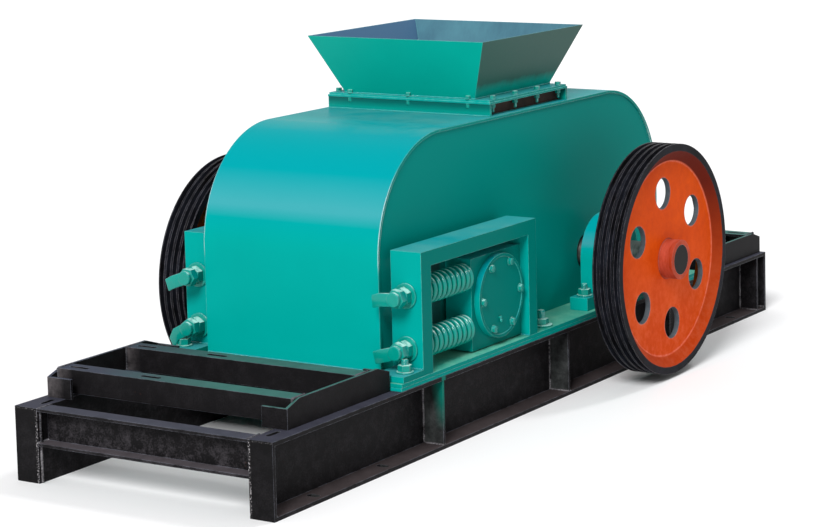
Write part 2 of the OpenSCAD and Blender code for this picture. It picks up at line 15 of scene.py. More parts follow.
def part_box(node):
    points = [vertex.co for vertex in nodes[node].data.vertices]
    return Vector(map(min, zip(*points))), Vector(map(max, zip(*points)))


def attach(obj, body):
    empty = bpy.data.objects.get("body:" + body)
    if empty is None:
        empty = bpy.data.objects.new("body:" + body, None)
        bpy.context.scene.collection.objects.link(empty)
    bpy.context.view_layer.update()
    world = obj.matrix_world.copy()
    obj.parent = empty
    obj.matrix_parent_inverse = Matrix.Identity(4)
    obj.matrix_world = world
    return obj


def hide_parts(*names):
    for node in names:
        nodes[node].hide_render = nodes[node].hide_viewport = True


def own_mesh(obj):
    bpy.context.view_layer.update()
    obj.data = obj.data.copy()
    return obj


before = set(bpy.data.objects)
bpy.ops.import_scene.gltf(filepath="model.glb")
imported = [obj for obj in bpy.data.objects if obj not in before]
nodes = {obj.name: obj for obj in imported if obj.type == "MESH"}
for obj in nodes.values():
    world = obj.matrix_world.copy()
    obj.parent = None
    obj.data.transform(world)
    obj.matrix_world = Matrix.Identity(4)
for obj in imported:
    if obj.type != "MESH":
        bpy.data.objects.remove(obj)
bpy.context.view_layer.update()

# %% [markdown]
# ## The camera
# A long machine looks best from far away through a long lens, which keeps its upright lines upright.
# The camera could be aimed straight at the middle of the machine, but here it looks nearly level and
# the film is shifted instead, as on a view camera. Its place is written in metres, and the turn is
# built from the view direction, because that is easier to read than angles about three axes.

# %% Place the camera
CAMERA_PLACE = (3.945, -6.097, 1.736)
AZIMUTH, ELEVATION, ROLL = (math.radians(angle) for angle in (31.535, 6.993, -1.2))
back = Vector((math.sin(AZIMUTH) * math.cos(ELEVATION), -math.cos(AZIMUTH) * math.cos(ELEVATION),
               math.sin(ELEVATION)))
level = Vector((math.cos(AZIMUTH), math.sin(AZIMUTH), 0))
rise = back.cross(level)
right = level * math.cos(ROLL) + rise * math.sin(ROLL)
upward = rise * math.cos(ROLL) - level * math.sin(ROLL)
turn = Matrix((right, upward, back)).transposed().to_4x4()
bpy.ops.object.select_all(action="DESELECT")
bpy.ops.object.camera_add()
camera = bpy.context.object
camera.matrix_world = Matrix.Translation(CAMERA_PLACE) @ turn
camera.data.sensor_width = 36
camera.data.lens = 109.36
camera.data.shift_x = -0.106
camera.data.shift_y = -0.197
camera.data.clip_end = 60
bpy.context.scene.camera = camera
print("camera:", [round(v, 3) for v in camera.location], "lens", camera.data.lens)

# %% [markdown]
# ## Shader sums
# A material in Blender is a tree of nodes. Wiring it by hand takes many lines, so one small class
# stands for a socket of the tree. A sum of two sockets, written as in plain arithmetic, adds a Math
# node, and the method `node` adds any other kind of node.


# %% Wrap a socket
class Signal:
    """A socket in the tree of a material, which takes part in sums like a number."""

    def __init__(self, tree, socket=None):
        self.tree, self.socket = tree, socket

    def node(self, kind, values=None, output=0, **settings):
        made = self.tree.nodes.new("ShaderNode" + kind)
        for name, value in settings.items():
            setattr(made, name, value)
        for key, value in (values or {}).items():
            if isinstance(value, Signal):
                self.tree.links.new(value.socket, made.inputs[key])
            else:
                made.inputs[key].default_value = value
        return Signal(self.tree, made.outputs[output])

    def math(self, operation, *values, clamp=False):
        return self.node("Math", dict(enumerate(values)), operation=operation, use_clamp=clamp)

    def __add__(self, other):
        return self.math("ADD", self, other)

    def __sub__(self, other):
        return self.math("SUBTRACT", self, other)

    def __rsub__(self, other):
        return self.math("SUBTRACT", other, self)

    def __mul__(self, other):
        return self.math("MULTIPLY", self, other)

    def __pow__(self, other):
        return self.math("POWER", self, other)

    def __gt__(self, other):
        return self.math("GREATER_THAN", self, other)

    def __lt__(self, other):
        return self.math("LESS_THAN", self, other)

    def __abs__(self):
        return self.math("ABSOLUTE", self)

    __radd__, __rmul__ = __add__, __mul__

    def fade(self, low, high):
        """0 below low, 1 above high, and an even slope between them."""
        return self.math("MULTIPLY_ADD", self, 1 / (high - low), -low / (high - low), clamp=True)

    def mix(self, first, second):
        """The first colour where this signal is 0 and the second where it is 1."""
        return self.node("Mix", {0: self, 6: first, 7: second}, output=2, data_type="RGBA")


def tone(red, green, blue):
    """A colour as a screen shows it, from 0 to 255, turned into the shader's linear numbers."""
    def linear(part):
        part /= 255
        return part / 12.92 if part <= 0.04045 else ((part + 0.055) / 1.055) ** 2.4
    return (linear(red), linear(green), linear(blue), 1)


print("mid grey in linear numbers:", round(tone(128, 128, 128)[0], 3))

# %% [markdown]
# ## Where paint gets dirty, worn and highlit
# Every finish on this machine changes in the same few ways, so they are written once. Dust lies on
# faces that look up. Edges carry a thin light line, partly because the paint is thin and rubbed there
# and partly as a painted highlight of the light that a rounded edge catches: the Bevel node gives the
# normal that a rounded edge would have, and the edge is where it differs from the flat one. Sprayed
# paint also has a fine dimple, called orange peel, which goes into the bump.


# %% Write the shared parts of a paint
def start(name):
    """A new material's shader, its tree as a signal and the coordinates of the object."""
    material = bpy.data.materials.new(name)
    material.use_nodes = True
    tree = material.node_tree
    shader = tree.nodes["Principled BSDF"]
    place = Signal(tree).node("TexCoord", output="Object")
    return material, shader, place


def noise(place, scale, detail=3.0, rough=0.55):
    return place.node("TexNoise", {"Vector": place, "Scale": scale, "Detail": detail,
                                   "Roughness": rough})


def edges(place, radius):
    """1 along edges and 0 on flat faces, with the normal of the rounded edge."""
    rounded = place.node("Bevel", {"Radius": radius}, samples=4)
    flat = place.node("NewGeometry", output="Normal")
    same = place.node("VectorMath", {0: rounded, 1: flat}, output="Value", operation="DOT_PRODUCT")
    return (1 - same).fade(0.02, 0.25), rounded


def parts_of(vector, *names):
    split = vector.tree.nodes.new("ShaderNodeSeparateXYZ")
    vector.tree.links.new(vector.socket, split.inputs[0])
    return [Signal(vector.tree, split.outputs[name]) for name in names]


def facing(place, axis):
    """How far a face looks along an axis of the object: 1 straight along it, -1 straight away."""
    return parts_of(place.node("TexCoord", output="Normal"), axis)[0]


def finish(shader, values):
    """Puts numbers straight on the shader's sockets and links what changes over the surface."""
    for name, value in values.items():
        if isinstance(value, Signal):
            value.tree.links.new(value.socket, shader.inputs[name])
        else:
            shader.inputs[name].default_value = value


def bumped(height, strength, distance, normal):
    return height.node("Bump", {"Strength": strength, "Distance": distance, "Height": height,
                                "Normal": normal})


print("shared parts:", noise.__name__, edges.__name__, facing.__name__, bumped.__name__)

# %% [markdown]
# ## The machine's enamel
# The body, the hopper, the plates and the bearings wear one coat of blue green enamel. It is a
# little uneven in tone, dusty on top and painted deeper on the side faces, as painted shade. The
# edges are lighter, partly from wear and partly as a painted highlight, and a clear coat there also
# catches the light. Faces that look up take a bluer tone, a painted reflection of the sky. On springs
# and nuts the crests carry a painted highlight, almost white, set by one argument of the enamel. The
# body has painted light of its own: a painted shadow in dark brown behind the springs, a lower part
# painted paler against the shade that falls there, and on its round bend a pale band, a painted
# reflection, with a bright edge, a painted highlight. All of them follow from where a point lies and
# which way it faces.

# %% Add the painted light on the body
springs_low, springs_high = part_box("springs_right")
body_low, body_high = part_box("hood_front")
bend_r = body_high.y - body_low.y
bend_z = body_high.z - bend_r


def body_painted_light(place, base, cloud, up, flank):
    """Painted shade behind the springs, a painted lift low down and a painted reflection on the bend.
    """
    y, z = parts_of(place, "Y", "Z")
    spring_shadow = y.fade(springs_low.y - 0.01, springs_low.y + 0.01)
    spring_shadow = spring_shadow * (1 - y.fade(springs_high.y - 0.01, springs_high.y + 0.01))
    spring_shadow = spring_shadow * z.fade(springs_low.z - 0.04, springs_low.z)
    spring_shadow = spring_shadow * (1 - z.fade(springs_high.z, springs_high.z + 0.04))
    # Painted shadow of the springs on the side of the body, in dark brown.
    base = (spring_shadow * flank * 0.85).mix(base, tone(44, 24, 26))
    # Painted light: the lower part is painted paler, against the shade that falls low on the body.
    base = ((1 - z.fade(body_low.z + 0.059, bend_z + 0.1)) * 0.15).mix(base, tone(0, 215, 205))
    # Painted reflection: a pale band on the lower half of the bend.
    painted_reflection = up.fade(0.27, 0.38) * (1 - up.fade(0.40, 0.68)) * (0.8 + cloud * 0.4)
    return painted_reflection.mix(base, tone(58, 154, 161))


def painted_edge_highlight(place, base, edge_mask):
    """A painted highlight: whitens the edges of the body along the lower half of the bend."""
    z = parts_of(place, "Z")[0]
    along_bend = z.fade(bend_z - 0.03, bend_z)
    along_bend = along_bend * (1 - z.fade(bend_z + 0.5 * bend_r, bend_z + 0.75 * bend_r))
    return (edge_mask.fade(0.0, 0.4) * along_bend).mix(base, tone(235, 250, 250))


print("the bend of the body starts at z", round(bend_z, 3), "and has radius", round(bend_r, 3))


# %% Mix an enamel
def enamel(name, colour, dust=0.35, gloss=0.24, edge=0.5, sheen=0.015, sky=0.75, side=0.75,
           top=(0, 144, 156), settling=(120, 172, 160), side_shade_tone=(0, 118, 110), painted_glint=0.0,
           edge_r=0.0026, body=False):
    material, shader, place = start(name)
    cloud = noise(place, 2.3, 4)
    grain = noise(place, 60, 3)
    peel = noise(place, 900, 1)
    edge_mask, rounded = edges(place, edge_r)
    up = facing(place, "Z")
    flank = abs(facing(place, "X")).fade(0.55, 0.95)
    settled = up.fade(0.955, 0.998) * noise(place, 6, 5, 0.7).fade(0.3, 0.7) * dust
    edge_wear_and_glint = edge_mask * grain.fade(0.3, 0.6) * edge
    darker = [part * 0.9 for part in colour[:3]] + [1]
    base = cloud.fade(0.3, 0.75).mix(darker, colour)
    # Painted shade: faces that look along X are painted deeper.
    base = (flank * side).mix(base, tone(*side_shade_tone))
    # Painted reflection of the sky: faces that look up take a bluer tone.
    base = (up.fade(0.08, 0.5) * sky).mix(base, tone(*top))
    base = settled.mix(base, tone(*settling))
    if body:
        base = body_painted_light(place, base, cloud, up, flank)
    # Light edges: partly wear, partly a painted highlight.
    base = edge_wear_and_glint.mix(base, tone(110, 205, 195))
    if body:
        # Painted highlight along the edges of the bend.
        base = painted_edge_highlight(place, base, edge_mask)
    if painted_glint:
        # Painted highlight: the crests that face up and along X are made almost white.
        glint_mask = (up * 0.8 + facing(place, "X") * 0.25).fade(0.62, 0.86)
        base = (glint_mask * grain.fade(0.3, 0.55) * painted_glint).mix(base, tone(205, 250, 240))
    finish(shader, {
        "Base Color": base,
        "Roughness": gloss + cloud * 0.08 + settled * 0.6 + grain * 0.04,
        "Specular IOR Level": sheen,
        "Coat Weight": edge_mask,
        "Coat Roughness": 0.12,
        "Normal": bumped(peel * 0.6 + cloud * 2, 0.25, 0.0006, rounded),
    })
    return material


teal = enamel("teal_enamel", tone(0, 157, 149), edge=0.7, edge_r=0.004, body=True)
# The guide frames, blocks and covers have their X-facing faces painted fully deeper, as painted shade.
guide_teal = enamel("guide_enamel", tone(0, 157, 149), edge=0.7, side=1.0, side_shade_tone=(0, 111, 103))
plate_teal = enamel("foot_plate_enamel", tone(0, 156, 144), dust=0.9, edge=0.95, top=(30, 150, 132),
                    settling=(128, 198, 172))
for coat in (teal, guide_teal, plate_teal):
    print(coat.name, "with", len(coat.node_tree.nodes), "nodes")

# %% [markdown]
# ## The black steelwork
# The rails, beams and motor bases are painted black over rolled steel. Grey dust speckles the upright
# faces and lies thicker on the tops, brown low down. The tops also carry a bluish painted reflection
# of the sky, and on the motor bases the tops near the body a green painted reflection of the body.
# Small rust spots show through. The ribs of the rails are scraped grey, and the corners of their end
# plates carry light flecks of weld spatter. Where the body was sprayed, a little enamel drifted on to
# the first rib under it. Each mark is a mask that says where it lies.

# %% Measure the rails
rail_low, rail_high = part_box("rail_right")
web_x, outer_x, rail_top, half_l = rail_low.x, rail_high.x, rail_high.z, rail_high.y
RIB_PLACES = (-0.626, 0.056, 0.700, 1.340)
base_corner_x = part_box("front_base_cross")[0].x
print("rails: webs at x", round(web_x, 3), "tops at z", round(rail_top, 3), "ribs at y", RIB_PLACES)


# %% Add the marks of the rails and motor bases
def rail_marks(place, base, mottle):
    """Scraped ribs, enamel on the first rib and dark end plates with flecks at the corners."""
    x, y, z = parts_of(place, "X", "Y", "Z")
    along = abs(y)
    on_rib = abs(facing(place, "Y")).fade(0.8, 0.9) * (1 - along.fade(half_l - 0.1, half_l - 0.09))
    scraped = on_rib * mottle.fade(0.2, 0.8) * (1 - z.fade(0.08, rail_top) * 0.5)
    scraped = scraped * (1 - x.fade(web_x + 0.02, outer_x - 0.005) * 0.6)
    base = (scraped * 0.55).mix(base, tone(104, 110, 108))
    drift = (1 - abs(y - RIB_PLACES[0]).fade(0.006, 0.012)) * z.fade(0.05, 0.15)
    drift = drift * (x + z * 0.1).fade(outer_x - 0.023, outer_x + 0.005)
    base = (drift * 0.9).mix(base, tone(0, 112, 98))
    end_face = along.fade(half_l - 0.0015, half_l - 0.0008)
    corner = 1 - abs(abs(x) - web_x - 0.003).fade(0.002, 0.005)
    rim = 1 - abs(z - rail_top + 0.0035).fade(0.001, 0.003)
    base = (end_face * 0.5).mix(base, tone(8, 8, 9))
    flecks = (corner + rim * 0.3) * end_face * noise(place, 190, 3, 0.7).fade(0.52, 0.6)
    return (flecks * 0.85).mix(base, tone(176, 172, 174))


def corner_dust(place, base, mottle):
    """Light dust swept into the left corner of the front motor base."""
    x = parts_of(place, "X")[0]
    swept = 1 - (x - base_corner_x).fade(0.0, 0.05)
    swept = swept * (0 - facing(place, "Y")).fade(0.8, 0.9) * mottle.fade(0.3, 0.7)
    return (swept * 0.6).mix(base, tone(120, 114, 116))


print("marks:", rail_marks.__name__, "and", corner_dust.__name__)


# %% Mix the black paint
def black_paint(name, left_top, right_top, speck=0.5, welded=0.0, marks=None, low_z=0.06,
                low_top=(74, 66, 67), rusty=0.4):
    material, shader, place = start(name)
    x, y, z = parts_of(place, "X", "Y", "Z")
    cloud = noise(place, 3.1, 4)
    mottle = noise(place, 26, 5, 0.7)
    fine = noise(place, 240, 2)
    edge_mask, rounded = edges(place, 0.0025)
    # Tops: dust, and with it a painted reflection of the sky.
    dust_and_reflection = facing(place, "Z").fade(0.5, 0.95) * (0.4 + mottle * 0.6)
    low = 1 - z.fade(0.11, rail_top) * 0.6
    specks = (fine * 0.4 + mottle * 0.6).fade(0.46 - welded * 0.04, 0.78 - welded * 0.16) * speck
    speck_tone = tone(96 + 80 * welded, 92 + 80 * welded, 97 + 76 * welded)
    rust = (noise(place, 7, 6, 0.75) * noise(place, 80, 2)).fade(0.43, 0.48)
    edge_wear_and_glint = edge_mask * mottle.fade(0.35, 0.6) * 0.8
    # Painted reflection: near the body, the tops of the motor bases take the body's green.
    body_reflection = (x + (1.24 - abs(y)) * 0.55).fade(-0.26, 0.12)
    top = (z > low_z).mix(tone(*low_top), body_reflection.mix(tone(*left_top), tone(*right_top)))
    base = cloud.mix(tone(15, 14, 15), tone(25, 24, 26))
    base = (specks * low).mix(base, speck_tone)
    base = dust_and_reflection.mix(base, top)
    base = (rust * rusty).mix(base, tone(92, 56, 40))
    # Light edges: partly wear, partly a painted highlight.
    base = edge_wear_and_glint.mix(base, tone(136, 140, 154))
    if marks:
        base = marks(place, base, mottle)
    finish(shader, {
        "Base Color": base,
        "Roughness": 0.42 + mottle * 0.2 + dust_and_reflection * 0.2,
        "Specular IOR Level": 0.06,
        "Coat Weight": edge_mask * 0.4,
        "Coat Roughness": 0.3,
        "Normal": bumped(mottle * 2 + fine, 0.4, 0.0008, rounded),
    })
    return material


black = black_paint("black_steelwork", (64, 65, 78), (64, 65, 78), speck=0.25, marks=rail_marks)
black_beam = black_paint("black_beams", (73, 75, 87), (73, 75, 87), speck=0.7, low_z=0.15,
                         low_top=(94, 88, 93))
# The right tops are green, a painted reflection of the body.
black_base = black_paint("black_motor_base", (60, 66, 82), (66, 116, 109), speck=0.25, rusty=0.1,
                         marks=corner_dust)
print("black paints:", black.name, black_beam.name, black_base.name)

# %% [markdown]
# ## The belt pulleys
# A pulley is cast in one piece. Its web and hub are painted orange, and the grooved rim is black
# where the belts run. One material can do both, because the distance from the pulley's axis tells
# which zone a point lies in, from the hub to the sloping wall inside the rim. On the outer side that
# wall is painted darker, most at the top, as painted shade, with a pale painted highlight where it
# meets the web. Stone powder pales the lower half. The light edges are partly wear and partly a
# painted highlight. The walls of the six round holes were bored after painting, so they are bare:
# folding the angle into one sixth of a turn gives the distance from the nearest hole.


# %% Measure the pulleys
HOLE_CIRCLE, HOLE_R, HOLE_TURN = 0.202, 0.047, 37
HUB_R, WALL_R, RIM_DEPTH = 0.061, 0.293, 0.022
front_low, front_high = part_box("front_pulley")
rear_low, rear_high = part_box("rear_pulley")
front_axis_y = (front_low.y + front_high.y) / 2
rear_axis_y = (rear_low.y + rear_high.y) / 2
axis_z = (rear_low.z + rear_high.z) / 2
rim_r = (rear_high.z - rear_low.z) / 2 - RIM_DEPTH
print("roll axes at y", round(front_axis_y, 3), round(rear_axis_y, 3), "and z", round(axis_z, 3))


# %% Mix the pulley finish
def pulley_finish(name, axis_y, outward):
    material, shader, place = start(name)
    y, z = parts_of(place, "Y", "Z")
    along, above = y - axis_y, z - axis_z
    radius = (along ** 2.0 + above ** 2.0) ** 0.5
    sixths = above.math("ARCTAN2", above, along) * (3 / math.pi) + (7.5 - HOLE_TURN / 60)
    step = (sixths.math("FRACT", sixths) - 0.5) * (math.pi / 3)
    across = step.math("COSINE", step)
    to_hole = (radius ** 2.0 + HOLE_CIRCLE ** 2 - radius * across * (2 * HOLE_CIRCLE)) ** 0.5
    bare = to_hole < HOLE_R + 0.0006
    chipped = (1 - (to_hole - HOLE_R).fade(0.001, 0.005)) * 0.5
    cloud = noise(place, 5, 4)
    mottle = noise(place, 45, 4, 0.7)
    streak = noise(place.node("Mapping", {"Vector": place, "Scale": (60.0, 9.0, 9.0)}), 1.0, 4, 0.7)
    edge_mask, rounded = edges(place, 0.0022)
    outside = facing(place, "X") * outward > 0.05
    ragged = radius + (mottle - 0.5) * 0.004
    rim = ragged.fade(rim_r - 0.001, rim_r + 0.001)
    shaded_wall = ragged.fade(WALL_R, WALL_R + 0.004) * outside
    junction_highlight = (1 - abs(ragged - WALL_R).fade(0.001, 0.004)) * outside
    orange = (cloud * 0.6 + mottle * 0.4).fade(0.3, 0.7).mix(tone(190, 60, 6), tone(220, 84, 14))
    powder = (1 - above.fade(-0.26, 0.06)) * (mottle * 0.6 + cloud * 0.4).fade(0.42, 0.62) * outside
    orange = (powder * 0.35).mix(orange, tone(210, 112, 86))
    # Painted shade: the outer wall inside the rim, darker at the top.
    orange = (shaded_wall * (above.fade(-0.2, 0.2) * 0.5 + 0.45)).mix(orange, tone(84, 24, 16))
    # Painted highlight: a pale line where the wall meets the web.
    orange = (junction_highlight * mottle.fade(0.3, 0.6) * 0.5).mix(orange, tone(226, 130, 110))
    hub = 1 - radius.fade(HUB_R, HUB_R + 0.003)
    greasy = streak.fade(0.35, 0.65).mix(tone(112, 36, 28), tone(172, 84, 72))
    orange = (hub * 0.7).mix(orange, greasy)
    orange = (chipped * mottle.fade(0.4, 0.6)).mix(orange, tone(150, 132, 126))
    rubber = streak.fade(0.35, 0.7).mix(tone(13, 12, 13), tone(32, 34, 42))
    base = rim.mix(orange, rubber)
    base = bare.mix(base, mottle.mix(tone(58, 62, 66), tone(104, 110, 116)))
    # Light edges: partly wear, partly a painted highlight.
    base = (edge_mask * mottle.fade(0.35, 0.6) * (0.3 + rim * 0.2)).mix(base, tone(170, 166, 176))
    finish(shader, {
        "Base Color": base,
        "Roughness": 0.42 + mottle * 0.16 - rim * 0.1,
        "Specular IOR Level": 0.03,
        "Coat Weight": edge_mask * 0.4,
        "Coat Roughness": 0.25,
        "Normal": bumped(mottle * 2 + cloud * 3, 0.3, 0.0006, rounded),
    })
    return material


front_orange = pulley_finish("front_pulley_paint", front_axis_y, -1)
rear_orange = pulley_finish("rear_pulley_paint", rear_axis_y, 1)
print("pulley paints:", front_orange.name, rear_orange.name, "and rims from", round(rim_r, 3))

# %% [markdown]
# ## Bare steel
# The shafts, the rolls and the ends of the rods are turned steel, oiled and darkened. Turning leaves
# fine rings round the axis, which a stretched noise along X gives. The ends were left black.


# %% Mix the turned steel
def turned_steel(name, dark, light, rough=0.34):
    material, shader, place = start(name)
    stretched = place.node("Mapping", {"Vector": place, "Scale": (420.0, 14.0, 14.0)})
    rings = noise(stretched, 1.0, 2)
    stain = noise(place, 14, 5, 0.7)
    edge_mask, rounded = edges(place, 0.0015)
    ends = abs(facing(place, "X")).fade(0.8, 0.95)
    base = (rings * 0.5 + stain * 0.5).fade(0.3, 0.7).mix(tone(*dark), tone(*light))
    base = (ends * 0.98).mix(base, stain.mix(tone(8, 7, 8), tone(22, 20, 20)))
    base = (edge_mask * 0.5).mix(base, tone(205, 205, 205))
    finish(shader, {
        "Base Color": base,
        "Metallic": (1 - stain.fade(0.55, 0.75) * 0.5) * (1 - ends),
        "Specular IOR Level": 0.06,
        "Roughness": rough + stain * 0.2,
        "Normal": bumped(rings, 0.3, 0.0004, rounded),
    })
    return material


shaft_steel = turned_steel("turned_shaft_steel", (96, 94, 92), (150, 148, 145))
roll_steel = turned_steel("worn_roll_steel", (70, 66, 62), (120, 115, 108), 0.5)
print("steels:", shaft_steel.name, roll_steel.name)

# %% [markdown]
# ## The hopper
# The hopper is one funnel of sheet. Outside it wears the machine's enamel. Inside it looks out to
# the open sky and is rubbed by stone, so it is duller, greyer and bluer. The inside faces look up
# and the outside ones look down, so the normal tells them apart. The outer side walls are painted a
# darker grey brown, above a narrow band at their foot that keeps the green enamel.


# %% Mix the hopper finish
hopper_low, hopper_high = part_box("hopper")
GREEN_FOOT_H, GREY_BROWN_H = 0.029, 0.059


def hopper_finish(name):
    material, shader, place = start(name)
    cloud = noise(place, 3.3, 4)
    scuff = noise(place.node("Mapping", {"Vector": place, "Scale": (9.0, 9.0, 2.2)}), 3.0, 6, 0.7)
    edge_mask, rounded = edges(place, 0.0022)
    side, up = facing(place, "X"), facing(place, "Z")
    height = parts_of(place, "Z")[0]
    inside = up.fade(-0.05, 0.05)
    outer = cloud.mix(tone(0, 150, 136), tone(0, 168, 152))
    above = height - hopper_low.z + scuff * 0.03
    # The outer side walls are painted a darker grey brown above a band at their foot.
    grey_brown_sides = abs(side).fade(0.5, 0.7) * above.fade(GREEN_FOOT_H, GREY_BROWN_H)
    outer = (grey_brown_sides * 0.88).mix(outer, tone(52, 74, 67))
    inner = (cloud * 0.6 + scuff * 0.4).fade(0.3, 0.7).mix(tone(60, 96, 116), tone(84, 134, 148))
    inner = abs(side).fade(0.5, 0.7).mix(inner, tone(76, 112, 144))
    base = inside.mix(outer, inner)
    # Light edges: partly wear, partly a painted highlight.
    base = (edge_mask * 0.6).mix(base, tone(120, 205, 195))
    finish(shader, {
        "Base Color": base,
        "Roughness": 0.34 + inside * 0.2 + scuff * 0.08,
        "Specular IOR Level": 0.1,
        "Normal": bumped(cloud * 3 + scuff, 0.3, 0.0006, rounded),
    })
    return material


hopper_paint = hopper_finish("hopper_enamel")
print("hopper finish:", hopper_paint.name, "stained from z", round(hopper_low.z + GREY_BROWN_H, 3))

# %% [markdown]
# ## The feed collar
# The collar under the flange is enamelled like the rest, but its two side walls are set back under
# the flange and are painted dark brown. Its coat is also painted darker towards the flange, a
# painted shadow of the flange's overhang.


# %% Mix the collar finish
collar_low, collar_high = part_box("feed_collar")
wall_x = collar_high.x - 0.0195


def collar_finish(name):
    material, shader, place = start(name)
    x, z = parts_of(place, "X", "Z")
    side = facing(place, "X")
    cloud = noise(place, 12, 5, 0.7)
    edge_mask, rounded = edges(place, 0.0018)
    # Dark brown side walls, set back under the flange.
    dark_side_walls = abs(side).fade(0.5, 0.7) * (1 - abs(x).fade(wall_x, wall_x + 0.006))
    # Painted shade: darker towards the flange, the shadow of its overhang.
    under = (z + cloud * 0.008).fade(collar_low.z + 0.012, collar_high.z - 0.004)
    base = under.mix(cloud.mix(tone(0, 136, 124), tone(0, 152, 140)), tone(0, 98, 92))
    base = dark_side_walls.mix(base, cloud.fade(0.3, 0.7).mix(tone(46, 38, 36), tone(74, 58, 52)))
    # Light edges: partly wear, partly a painted highlight.
    base = (edge_mask * 0.5).mix(base, tone(120, 205, 195))
    finish(shader, {
        "Base Color": base,
        "Roughness": 0.3 + dark_side_walls * 0.45 + cloud * 0.05,
        "Specular IOR Level": 0.1,
        "Normal": bumped(cloud, 0.2, 0.0006, rounded),
    })
    return material


collar_paint = collar_finish("collar_enamel")
print("collar finish:", collar_paint.name, "with brown walls up to x", round(wall_x, 3))

# %% [markdown]
# ## Painting the frame
# Each part of the frame keeps its shape and gets its finish by name.

# %% Paint the parts
FINISHES = [
    (black, ["rail_left", "rail_right"]),
    (black_beam, ["cross_beam_front", "cross_beam_rear", "cross_beam_body_front",
                  "cross_beam_body_rear"]),
    (black_base, ["front_base_side_left", "front_base_side_right", "front_base_cross",
                  "rear_base_side_left", "rear_base_side_right", "rear_base_cross"]),
    (shaft_steel, ["front_shaft", "rear_shaft"]),
    (roll_steel, ["front_roll", "rear_roll"]),
    (front_orange, ["front_pulley"]),
    (rear_orange, ["rear_pulley"]),
    (hopper_paint, ["hopper"]),
    (collar_paint, ["feed_collar"]),
    (plate_teal, ["base_plate_left", "base_plate_right"]),
    (guide_teal, ["guide_frame_left", "guide_frame_right", "slide_block_left",
                  "slide_block_right", "bearing_cover_left", "bearing_cover_right"]),
]
painted = {}
for material, names in FINISHES:
    for name in names:
        painted[name] = material
for name, part in nodes.items():
    part.data.materials.clear()
    part.data.materials.append(painted.get(name, teal))
print("painted", len(painted), "parts by name and", len(nodes) - len(painted), "with enamel")

# %% [markdown]
# ## Helpers for new pieces
# An operator acts on all that is selected, so every piece starts from an empty selection. A bolt or
# a nut is modelled once, standing on the origin with its axis up, and then copied to each place.
# The copies of one group are joined, so that a row of bolts is one piece.


# %% Pick, edit and finish a piece
def pick(*pieces):
    """Leaves edit mode and selects only these pieces, the first one as the active one."""
    if bpy.context.mode != "OBJECT":
        bpy.ops.object.mode_set(mode="OBJECT")
    bpy.ops.object.select_all(action="DESELECT")
    for piece in pieces:
        piece.select_set(True)
    if pieces:
        bpy.context.view_layer.objects.active = pieces[0]


def edit_faces(piece, wanted):
    """Opens the piece for editing with only the faces selected for which wanted(face) is true."""
    bpy.ops.object.mode_set(mode="EDIT")
    bpy.ops.mesh.select_all(action="DESELECT")
    bpy.ops.mesh.select_mode(type="FACE")
    bpy.ops.object.mode_set(mode="OBJECT")
    for face in piece.data.polygons:
        face.select = wanted(face)
    bpy.ops.object.mode_set(mode="EDIT")


def apply_modifier(piece, kind, **settings):
    modifier = piece.modifiers.new(kind.lower(), kind)
    for name, value in settings.items():
        setattr(modifier, name, value)
    bpy.context.view_layer.objects.active = piece
    bpy.ops.object.modifier_apply(modifier=modifier.name)


def join(pieces, name):
    pick(*pieces)
    if len(pieces) > 1:
        bpy.ops.object.join()
    pieces[0].name = pieces[0].data.name = name
    bpy.ops.object.transform_apply(location=True, rotation=True, scale=True)
    return pieces[0]


def smooth(piece, angle):
    pick(piece)
    bpy.ops.object.shade_smooth_by_angle(angle=math.radians(angle))
    return piece


def paint(piece, material):
    piece.data.materials.clear()
    piece.data.materials.append(material)
    return piece


print("helpers:", pick.__name__, edit_faces.__name__, join.__name__, smooth.__name__)


# %% Copy a piece to its places
def duplicate(master, place):
    """A copy of a piece with a mesh of its own, moved by a matrix."""
    copy = master.copy()
    copy.data = master.data.copy()
    copy.data.transform(place)
    bpy.context.scene.collection.objects.link(copy)
    return copy


def copies(master, name, places, body="frame"):
    """Copies the master to every place, joins the copies and lets them ride on a body."""
    piece = join([duplicate(master, place) for place in places], name)
    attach(piece, body)
    print(name + ":", len(places), "copies,", len(piece.data.polygons), "faces")


def at(x, y, z, along=(0, 0, 1), spin=0.0):
    """A place for a piece that was modelled with its axis up: where it stands and which way."""
    aim = Vector(along).to_track_quat("Z", "Y").to_matrix().to_4x4()
    return Matrix.Translation((x, y, z)) @ aim @ Matrix.Rotation(math.radians(spin), 4, "Z")


print("a bolt set along X has its axis on", [round(v) for v in at(0, 0, 0, (1, 0, 0)).col[2][:3]])

# %% [markdown]
# ## Round springs
# Four compression springs hold the front roll against the stone. A real one is a round bar wound in
# a helix, with its last turn at each end wound flat so that it seats squarely. A Screw modifier
# winds an even helix, but it can't close the end turns, so the helix is drawn as a curve with a
# round section and then turned into a mesh. The same two closed turns are kept as in the frame.

# %% Wind the springs
SPRING_D, WIRE_D, COILS, POINTS_PER_TURN = 0.080, 0.014, 10.5, 28
# The springs carry a painted highlight on their crests.
enamel_spring = enamel("spring_enamel", tone(0, 146, 130), dust=0.1, gloss=0.08, sheen=0.4,
                       side=0.6, sky=0.2, painted_glint=0.95)


def spring_height(turns, length):
    """Height of the wire's middle after a number of turns: one flat turn, open ones, a flat one."""
    closed = WIRE_D * 1.02
    open_length = length - WIRE_D - 2 * closed
    if turns < 1:
        return WIRE_D / 2 + turns * closed
    if turns > COILS - 1:
        return WIRE_D / 2 + closed + open_length + (turns - COILS + 1) * closed
    return WIRE_D / 2 + closed + open_length * (turns - 1) / (COILS - 2)


